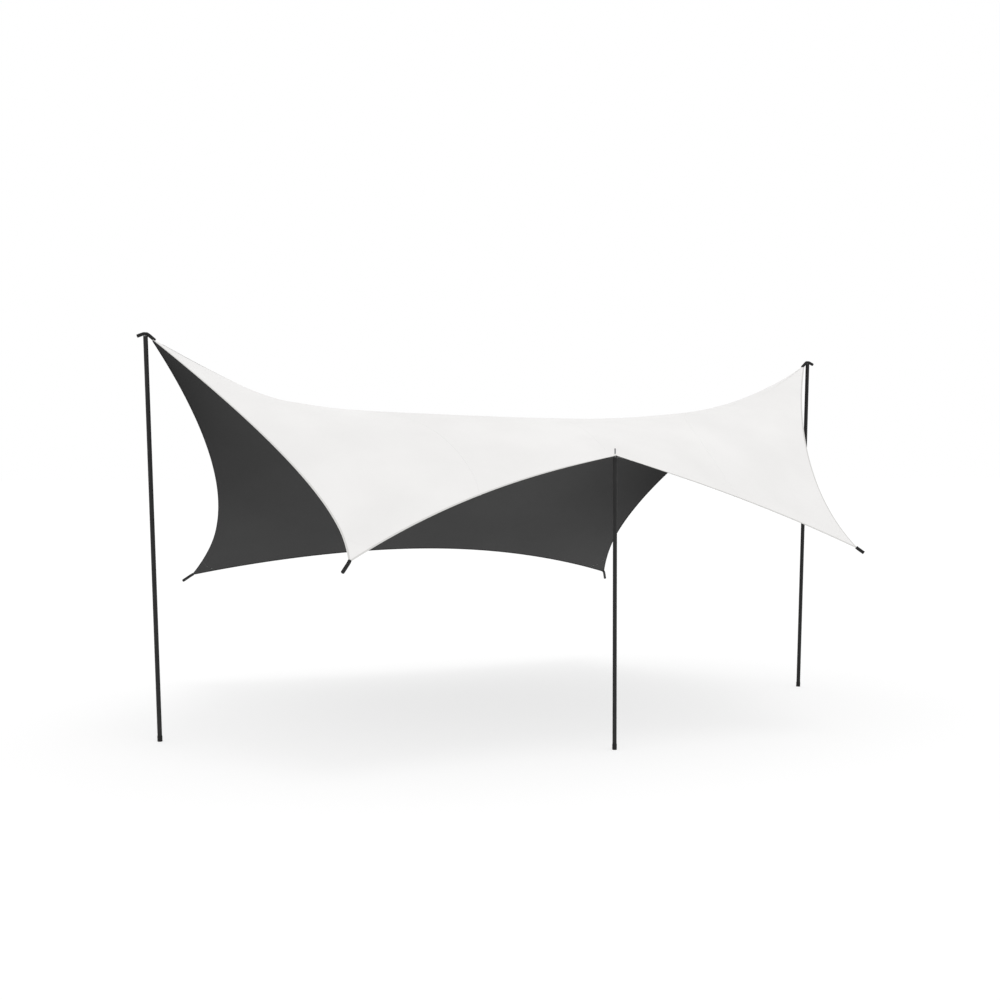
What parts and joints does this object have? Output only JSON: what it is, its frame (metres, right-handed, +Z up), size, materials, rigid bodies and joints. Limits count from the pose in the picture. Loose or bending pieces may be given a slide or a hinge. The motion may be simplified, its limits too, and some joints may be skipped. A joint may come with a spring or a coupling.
{
  "type": "hexagonal tarp with two peak poles and a porch pole",
  "caption": "Pitched hexagonal tarp: a taut curved sheet with a high peak at each end on a leaning pole, low corners with webbing straps, and a front edge lifted by a porch pole.",
  "frame": {"origin": "on the ground, under the middle of the tarp's outline seen from above", "axes": "+X from the left pole to the right pole along the ridge, -Y out through the porch, +Z up"},
  "size_m": [5.1036, 3.6482, 2.5124],
  "materials": {
    "cloth": "matte",
    "edge_tape": "matte",
    "webbing": "matte",
    "pole_paint": "satin",
    "foot_plastic": "matte",
    "eyelet_plastic": "matte",
    "steel": "satin"
  },
  "bodies": {
    "root": {"back_hem": "edge_tape", "back_left_patch": "cloth", "back_left_strap": "webbing", "back_panel_far_left": "cloth", "back_panel_far_right": "cloth", "back_panel_left": "cloth", "back_panel_right": "cloth", "back_right_patch": "cloth", "back_right_strap": "webbing", "front_left_hem": "edge_tape", "front_left_patch": "cloth", "front_left_strap": "webbing", "front_panel_far_left": "cloth", "front_panel_far_right": "cloth", "front_panel_left": "cloth", "front_panel_right": "cloth", "front_right_hem": "edge_tape", "front_right_patch": "cloth", "front_right_strap": "webbing", "left_back_hem": "edge_tape", "left_front_hem": "edge_tape", "left_guy_tab": "webbing", "left_peak_patch": "cloth", "left_peak_strap": "webbing", "left_pin": "steel", "left_pole": "pole_paint", "left_pole_foot": "foot_plastic", "porch_eyelet": "eyelet_plastic", "porch_patch": "cloth", "porch_pin": "steel", "porch_pole": "pole_paint", "porch_pole_foot": "foot_plastic", "right_back_hem": "edge_tape", "right_front_hem": "edge_tape", "right_guy_tab": "webbing", "right_peak_patch": "cloth", "right_peak_strap": "webbing", "right_pin": "steel", "right_pole": "pole_paint", "right_pole_foot": "foot_plastic"}
  },
  "joints": []
}
